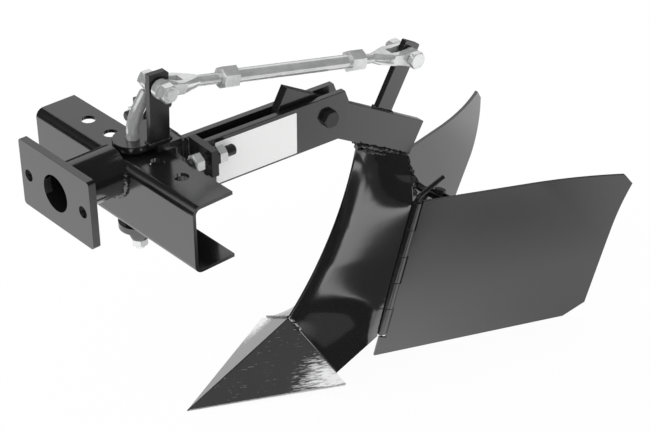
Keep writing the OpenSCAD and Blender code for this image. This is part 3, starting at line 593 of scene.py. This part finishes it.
def refineSheet(piece):
    flatness, skew = math.radians(flankMesh["flatness"]), math.radians(flankMesh["skew"])
    bpy.ops.mesh.tris_convert_to_quads(face_threshold=flatness, shape_threshold=skew)
    bpy.ops.mesh.subdivide(number_cuts=flankMesh["cuts"])
    bpy.ops.mesh.select_all(action="DESELECT")
    bpy.ops.mesh.edges_select_sharp(sharpness=math.radians(edgeFinish["smoothTo"]))
    bpy.ops.object.mode_set(mode="OBJECT")
    sheet = piece.vertex_groups.new(name="sheet")
    sheet.add([vertex.index for vertex in piece.data.vertices if not vertex.select], 1.0, "REPLACE")
    flow = piece.modifiers.new("flow", "SMOOTH")
    flow.vertex_group = "sheet"
    flow.iterations = flankMesh["rounds"]
    bpy.ops.object.modifier_apply(modifier="flow")


def rolledFlank(node, side):
    piece = copyOfNode(node)
    refineSheet(piece)
    nose = rolledNose
    for vertex in piece.data.vertices:
        offset = (vertex.co - kingpinFoot) / mm
        aside = side * (offset.dot(lateral) - beamCentre)
        rise = 1 - (1 - ramp(aside, nose["fold"], nose["crown"])) ** 2
        fall = 1 - ramp(aside, nose["crown"], nose["hinge"])
        swell = nose["swell"] * rise * fall * ramp(offset.z, *nose["foot"])
        vertex.co += (lateral * side * nose["outward"] - rearward * nose["forward"]) * swell * mm
    shadeByAngle()
    useFor(piece, node)
    piece.data.materials[0] = breastPaint


# the share's cutting edges, from its tip to its rear corners, beside the beam's centre plane in mm
cuttingEdge = {"tip": (0, 22, -329), "corner": (85.5, 194, -318.5), "from": 0.3, "wide": 2.0}


def rubCuttingEdges(piece):
    piece.data.materials.append(brightEdge)
    for side in (1, -1):
        tip = besideBeam(side, *cuttingEdge["tip"])
        edge = besideBeam(side, *cuttingEdge["corner"]) - tip
        for face in piece.data.polygons:
            along = (face.center - tip).dot(edge) / edge.length_squared
            off = (face.center - tip - edge * along).length / mm
            if along > cuttingEdge["from"] and off < cuttingEdge["wide"]:
                face.material_index = 1


sidewaysFacing = 0.9  # how squarely a face of the hitch plate looks sideways to count as a sheared end


def roughenShearedEnds(piece):
    piece.data.materials.append(shearedPaint)
    for face in piece.data.polygons:
        if abs(face.normal.x) > sidewaysFacing:
            face.material_index = 1


for node, width in edgeRadius.items():
    softened(node, width)
for node in smoothOnly:
    smoothed(node)
for name in ("mastPost", "leftLug", "rightLug", "leftHingePin", "rightHingePin"):
    bpy.data.objects[name].data.materials[0] = mastPaint
rubCuttingEdges(bpy.data.objects["sharePoint"])
roughenShearedEnds(bpy.data.objects["hitchPlate"])
rolledFlank("left_flank", 1)
rolledFlank("right_flank", -1)
print("edges softened:", len(edgeRadius))


# a tube along a path of points, made a mesh
def tubeAlong(name, path, radii, depth, roundness, closed=False):
    bpy.ops.curve.primitive_bezier_curve_add()
    bpy.context.object.name = name
    curve = bpy.context.object.data
    curve.splines.clear()
    spline = curve.splines.new("POLY")
    spline.points.add(len(path) - 1)
    spline.use_cyclic_u = closed
    for knot, place, radius in zip(spline.points, path, radii):
        knot.co = (*place, 1)
        knot.radius = radius
    curve.dimensions = "3D"
    curve.bevel_depth = depth * mm
    curve.bevel_resolution = roundness
    curve.use_fill_caps = not closed
    bpy.ops.object.convert(target="MESH")
    return bpy.context.object


def finishTube(tube, body, finish):
    bpy.ops.object.shade_smooth()
    tube.data.materials.append(finish)
    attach(tube, body)


# a run of weld metal, in mm; crest, fall and uneven are shares of the bead's radius along each ripple
weldRun = {
    "step": 0.8,
    "ripple": 3.6,
    "crest": 1.06,
    "fall": 0.2,
    "uneven": 0.09,
    "jitter": 0.25,
    "lump": 3.2,
    "lumpDetail": 1,
    "roundness": 3,
}


def pathStations(points, closed):
    corners = points + [points[0]] if closed else points
    stations = []
    for first, second in zip(corners, corners[1:]):
        count = max(1, round((second - first).length / (weldRun["step"] * mm)))
        stations += [first.lerp(second, i / count) for i in range(count)]
    return stations if closed else stations + [corners[-1]]


def roughen(piece, depth):
    clouds = bpy.data.textures.new(piece.name, "CLOUDS")
    clouds.noise_scale = weldRun["lump"] * mm
    clouds.noise_depth = weldRun["lumpDetail"]
    lumps = piece.modifiers.new("lumps", "DISPLACE")
    lumps.texture = clouds
    lumps.texture_coords = "GLOBAL"
    lumps.strength = depth * mm
    bpy.ops.object.modifier_apply(modifier="lumps")


def weldBead(name, body, points, weld, closed=False, shift=0):
    run = weldRun
    chance = random.Random(weld["seed"] + shift)
    rough = weld.get("rough", 1.0)
    jitter = run["jitter"] * rough * mm
    path, radii = [], []
    for i, station in enumerate(pathStations(points, closed)):
        phase = (i * run["step"] / run["ripple"]) % 1
        drift = Vector([chance.uniform(-jitter, jitter) for axis in range(3)])
        uneven = chance.uniform(-run["uneven"], run["uneven"])
        path.append(station + drift)
        radii.append(run["crest"] - run["fall"] * phase * rough + uneven * rough)
    bead = tubeAlong(name, path, radii, weld["bead"], run["roundness"], closed)
    if "lumps" in weld:
        roughen(bead, weld["lumps"])
    finishTube(bead, body, weldPaint)


# the share bar's own axes: along its slope and square to it
barTilt = math.radians(28.7)
sharePivot = Vector(joints["share_tilt"]["pos_m"])
barAlong = rearward * math.cos(barTilt) - upward * math.sin(barTilt)
barSquare = rearward * math.sin(barTilt) + upward * math.cos(barTilt)


def barPoint(x, along, square):
    return sharePivot + (lateral * x + barAlong * along + barSquare * square) * mm


# the four corners of a foot, placed by beamPoint or barPoint
def footCorners(place, x, y, z):
    corners = ((x[0], y[0]), (x[1], y[0]), (x[1], y[1]), (x[0], y[1]))
    return [place(*corner, z) for corner in corners]


# welds round the hitch tube, at the plate and on an arc at the channel's web, in mm and degrees
tubeWeld = {"radius": 27.5, "clear": 0.6, "steps": 40}
plateWeld = {"y": 9.6, "bead": 2.4, "seed": 3}
webWeld = {"y": 69.6, "arc": (158, 382), "bead": 3.2, "seed": 5, "rough": 1.6, "lumps": 3.5}
# welds of the mast, the lugs and the yoke, from the kingpin's foot in mm
mastWeld = {"x": (18.2, 26.3), "y": (5.6, 30.4), "z": 28.4, "bead": 2.2, "seed": 7, "rough": 1.6}
lugWeld = {"inner": (33.4, 48.0), "outer": (55.0, 57.4), "z": (-2.5, 26.5), "bead": 1.9, "seed": 11}
yokeWeld = {"x": (13.0, 33.0), "y": 41.4, "z": 26.8, "bead": 2.0, "seed": 13, "rough": 1.5}


def tubeRing(y, low, high):
    steps = tubeWeld["steps"]
    radius = tubeWeld["radius"] + tubeWeld["clear"]
    across, centre = Vector((1, 0, 0)), Vector((0, y, 0)) * mm
    angles = [math.radians(low + (high - low) * i / steps) for i in range(steps + 1)]
    return [centre + (across * math.cos(turn) + upward * math.sin(turn)) * radius * mm for turn in angles]


def makeFrameWelds():
    plateRing = tubeRing(plateWeld["y"], 0, 360)[:-1]  # its last point is its first
    weldBead("hitchPlateWeld", "hitch", plateRing, plateWeld, closed=True)
    weldBead("hitchChannelWeld", "hitch", tubeRing(webWeld["y"], *webWeld["arc"]), webWeld)
    foot = footCorners(beamPoint, mastWeld["x"], mastWeld["y"], mastWeld["z"])
    weldBead("mastFootWeld", "beam", foot, mastWeld, closed=True)
    for name, place in (("lugInnerWeld", lugWeld["inner"]), ("lugOuterWeld", lugWeld["outer"])):
        weldBead(name, "beam", [beamPoint(*place, z) for z in lugWeld["z"]], lugWeld)
    edge = [beamPoint(x, yokeWeld["y"], yokeWeld["z"]) for x in yokeWeld["x"]]
    weldBead("yokeBarWeld", "beam", edge, yokeWeld)


# the strut's foot on the share bar: aside, along the bar and square to it, in mm
strutWeld = {
    "x": (-6.2, 2.4),
    "along": (81.6, 105.4),
    "square": 20.0,
    "bead": 2.0,
    "seed": 17,
    "rough": 1.6,
}
# two runs on each side under the bar: aside, along the bar and square to it, at the front and at the rear
crestWeld = {
    "runs": [((5.6, 73, -25.2), (6.4, 153, -25.0)), ((3.4, 79, -30.4), (9.0, 152, -29.4))],
    "bead": 3.0,
    "seed": 19,
    "rough": 2.0,
    "lumps": 4.5,
}
# down the rear of each flank from the crest, beside the beam's centre plane
shoulderWeld = {
    "points": ((8.5, 343.5, -96.0), (28.5, 336.5, -112.0), (38.0, 333.0, -131.0)),
    "bead": 2.4,
    "seed": 23,
    "rough": 2.0,
    "lumps": 4.0,
}
# between each flank and the share: a run from the nose, which is lumpy on the left, then a thin one
# that ends short of the share's corner
leftNose = {"top": (1.6, 172.4, -259.4), "bead": 2.1, "seed": 32, "rough": 1.6, "lumps": 2.8}
rightNose = {"top": (3.4, 173.4, -261.6), "bead": 1.1, "seed": 30}
seamWeld = {"corner": (71.3, 190.2, -307.0), "noseTo": 0.24, "thinTo": 0.98, "bead": 0.8, "seed": 37}


def makeSideWelds(side, name, nose):
    for i, run in enumerate(crestWeld["runs"]):
        line = [barPoint(side * x, along, square) for x, along, square in run]
        weldBead(name + "CrestWeld" + str(i), "share", line, crestWeld, shift=side + i)
    line = [besideBeam(side, *point) for point in shoulderWeld["points"]]
    weldBead(name + "ShoulderWeld", "share", line, shoulderWeld, shift=side)
    top, corner = besideBeam(side, *nose["top"]), besideBeam(side, *seamWeld["corner"])
    noseEnd, thinEnd = top.lerp(corner, seamWeld["noseTo"]), top.lerp(corner, seamWeld["thinTo"])
    weldBead(name + "NoseWeld", "share", [top, noseEnd], nose)
    weldBead(name + "SeamWeld", "share", [noseEnd, thinEnd], seamWeld, shift=side)


def makeBreastWelds():
    foot = footCorners(barPoint, strutWeld["x"], strutWeld["along"], strutWeld["square"])
    weldBead("strutFootWeld", "share", foot, strutWeld, closed=True)
    makeSideWelds(1, "left", leftNose)
    makeSideWelds(-1, "right", rightNose)
    # the left nose weld carries the painted glints
    highlighted = bpy.data.objects["leftNoseWeld"]
    highlighted.data.materials[0] = glintWeld


makeFrameWelds()
makeBreastWelds()
print("welds laid")


# white label with nothing printed on it, on the left side bar, in mm
label = {
    "front": 68,
    "rear": 176.5,
    "low": -28.8,
    "high": 22,
    "thick": 0.2,
    "lift": 0.02,
    "corner": 1.2,
    "cornerSteps": 3,
}


def reach(node, direction):
    return max((vertex.co - kingpinFoot).dot(direction) for vertex in nodes[node].data.vertices) / mm


def makeLabel():
    long, tall = label["rear"] - label["front"], label["high"] - label["low"]
    bpy.ops.mesh.primitive_plane_add(size=1)
    piece = bpy.context.object
    piece.name = "blankLabel"
    bpy.ops.object.mode_set(mode="EDIT")
    bpy.ops.mesh.select_all(action="SELECT")
    bpy.ops.transform.resize(value=(long * mm, tall * mm, 1))
    bpy.ops.mesh.bevel(offset=label["corner"] * mm, segments=label["cornerSteps"], affect="VERTICES")
    bpy.ops.mesh.select_all(action="SELECT")
    bpy.ops.mesh.extrude_region_move(TRANSFORM_OT_translate={"value": (0, 0, label["thick"] * mm)})
    bpy.ops.mesh.select_all(action="SELECT")
    bpy.ops.mesh.normals_make_consistent(inside=False)
    bpy.ops.object.mode_set(mode="OBJECT")
    centre = beamPoint(0, (label["front"] + label["rear"]) / 2, (label["low"] + label["high"]) / 2)
    centre += lateral * (reach("left_side_bar", lateral) + label["lift"]) * mm
    turn = Matrix((rearward, upward, lateral)).transposed().to_4x4()
    piece.matrix_world = Matrix.Translation(centre) @ turn
    bpy.ops.object.transform_apply(location=True, rotation=True, scale=True)
    piece.data.materials.append(paper)
    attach(piece, "beam")


makeLabel()
print("label on")


# helical ridges on a shank: where the thread starts and ends along it, and the shank's radius, in mm
threadRidge = {"pitch": 1.75, "depth": 0.42, "sunk": 0.1, "perTurn": 20, "roundness": 0}
frontThread = {"from": 51, "to": 77, "radius": 6}
rearThread = {"from": 51, "to": 64, "radius": 5.5}
# the stop screws stand beside the kingpin, and each has its own start
stopThread = {"aside": 65, "high": 14, "left": 27.4, "right": 30.7, "from": 2, "to": 56, "radius": 6}


def threadOn(name, body, slot, origin, direction, thread, shift=0):
    ridge = threadRidge
    direction = direction.normalized()
    first = direction.orthogonal().normalized()
    second = direction.cross(first)
    start, end = shift + thread["from"], shift + thread["to"]
    count = int((end - start) / ridge["pitch"] * ridge["perTurn"])
    path = []
    for i in range(count + 1):
        angle = 2 * math.pi * i / ridge["perTurn"]
        swing = first * math.cos(angle) + second * math.sin(angle)
        along = start + (end - start) * i / count
        path.append(origin + (direction * along + swing * (thread["radius"] - ridge["sunk"])) * mm)
    tube = tubeAlong(name, path, [1] * len(path), ridge["depth"], ridge["roundness"])
    finishTube(tube, body, finishOf[slot])


def makeThreads():
    linkAxis = Vector(joints["sleeve_turn"]["axis"])
    frontPin = Vector(joints["front_fork_pin"]["pos_m"])
    rearPin = Vector(joints["rear_fork_pin"]["pos_m"])
    threadOn("frontForkThread", "front_fork", "zinc", frontPin, linkAxis, frontThread)
    threadOn("rearForkThread", "rear_fork", "zinc", rearPin, -linkAxis, rearThread)
    stop = stopThread
    for side, body, start in ((1, "left_stop", stop["left"]), (-1, "right_stop", stop["right"])):
        origin = beamPoint(side * stop["aside"], 0, stop["high"])
        threadOn(camelName(body) + "Thread", body, "black_fastener", origin, rearward, stop, start)


makeThreads()
print("threads cut")

white = (1, 1, 1, 1)
# white sheet on the floor, mirrored by the gloss out to the edge of its pool of light, in metres
floor = {
    "level": cadBox[0][2],
    "size": 12.0,
    "centre": (0.05, 0.3),
    "colour": (0.9, 0.9, 0.9, 1),
    "rough": 0.8,
    "glow": 0.95,
    "pool": (1.33, 1.42),
    "beyond": 0.03,
}
# ovals where the gloss mirrors that sheet darker: where they fade out, in radii, and the light left inside
floorShades = [
    {"centre": (0.72, 0.52), "radii": (1, 0.8), "reach": (0.05, 0.6), "light": 0.36},
    {"centre": (0.12, 0.68), "radii": (0.25, 0.22), "reach": (0.5, 1.3), "light": 0.68},
    {"centre": (0.88, 0.29), "radii": (0.62, 0.11), "reach": (0.85, 1.08), "light": 0.04},
    {"centre": (1.45, -0.72), "radii": (1.05, 0.7), "reach": (0.92, 1.08), "light": 0.05},
    {"centre": (-0.42, -0.22), "radii": (0.5, 0.4), "reach": (0.8, 1.2), "light": 0.92},
]


# rays that see plain white, and rays that a glossy surface mirrors
def raysIn(tree):
    path = tree.nodes.new("ShaderNodeLightPath")
    plain = mathNode(tree, "MAXIMUM", path.outputs["Is Camera Ray"], path.outputs["Is Transmission Ray"])
    return plain, path.outputs["Is Glossy Ray"]


def floorMaterial():
    material, tree, shader, vector = newMaterial("paleFloor")
    shader.inputs["Base Color"].default_value = floor["colour"]
    shader.inputs["Roughness"].default_value = floor["rough"]
    level = floor["level"]
    away = ovalDistance(tree, vector, (*floor["centre"], level), (1, 1, 1))
    pool = remap(tree, away, *floor["pool"], 1.0, floor["beyond"])
    for oval in floorShades:
        away = ovalDistance(tree, vector, (*oval["centre"], level), (*oval["radii"], 1))
        shade = remap(tree, away, *oval["reach"], oval["light"], 1.0)
        pool = mathNode(tree, "MULTIPLY", pool, shade)
    plain, glossy = raysIn(tree)
    glow = tree.nodes.new("ShaderNodeEmission")
    glow.inputs["Color"].default_value = white
    mirrored = mathNode(tree, "MULTIPLY", glossy, pool)
    tree.links.new(mathNode(tree, "MAXIMUM", plain, mirrored), glow.inputs["Strength"])
    mix = tree.nodes.new("ShaderNodeMixShader")
    seen = mathNode(tree, "MAXIMUM", plain, glossy)
    tree.links.new(mathNode(tree, "MULTIPLY", seen, floor["glow"]), mix.inputs["Fac"])
    tree.links.new(shader.outputs["BSDF"], mix.inputs[1])
    tree.links.new(glow.outputs["Emission"], mix.inputs[2])
    tree.links.new(mix.outputs["Shader"], tree.nodes["Material Output"].inputs["Surface"])
    return material


def makeFloor():
    bpy.ops.mesh.primitive_plane_add(size=floor["size"], location=(*floor["centre"], floor["level"]))
    ground = bpy.context.object
    ground.name = "paleFloor"
    bpy.ops.object.transform_apply(location=True, rotation=True, scale=True)
    ground.data.materials.append(floorMaterial())


# how bright the room is: its plain light, and, as the gloss mirrors it, dark walls that brighten towards
# one place on the ceiling, from the first cosine to the second
room = {"light": 1.0, "wall": 0.03, "ceiling": 0.34, "toward": (0.2, -0.45, 0.87), "rise": (0.8, 0.97)}


def makeWorld():
    world = bpy.data.worlds.new("studio")
    bpy.context.scene.world = world
    world.use_nodes = True
    tree = world.node_tree
    plain, glossy = raysIn(tree)
    coords = tree.nodes.new("ShaderNodeTexCoord")
    facing = tree.nodes.new("ShaderNodeVectorMath")
    facing.operation = "DOT_PRODUCT"
    facing.inputs[1].default_value = room["toward"]
    tree.links.new(coords.outputs["Generated"], facing.inputs[0])
    mirrored = remap(tree, facing.outputs["Value"], *room["rise"], room["wall"], room["ceiling"])
    unmirrored = mathNode(tree, "MULTIPLY", mathNode(tree, "SUBTRACT", 1.0, glossy), room["light"])
    lit = mathNode(tree, "ADD", unmirrored, mathNode(tree, "MULTIPLY", glossy, mirrored))
    backdrop = tree.nodes["Background"]
    tree.links.new(mathNode(tree, "MAXIMUM", lit, plain), backdrop.inputs["Strength"])
    backdrop.inputs["Color"].default_value = white


# soft boxes that face one point above the floor, in metres and watts
softBoxes = [
    {"name": "keyBox", "at": (1.75, 0.2, 1.15), "size": (1.3, 1.5), "power": 0.54},
    {"name": "backPanel", "at": (-1.1, 1.35, 0.85), "size": (2.0, 1.1), "power": 4.0},
    {"name": "frontBox", "at": (-0.5, -1.4, 1.3), "size": (2.2, 1.8), "power": 8},
]
lampAim = Vector((*floor["centre"], -0.15))


def makeLights():
    for box in softBoxes:
        bpy.ops.object.light_add(type="AREA", location=box["at"])
        lamp = bpy.context.object
        lamp.name = box["name"]
        lamp.data.shape = "RECTANGLE"
        lamp.data.size, lamp.data.size_y = box["size"]
        lamp.data.energy = box["power"]
        lamp.rotation_euler = (Vector(box["at"]) - lampAim).to_track_quat("Z", "Y").to_euler()


makeFloor()
makeWorld()
makeLights()
bpy.context.scene.view_settings.view_transform = "Standard"
print("stage lit")
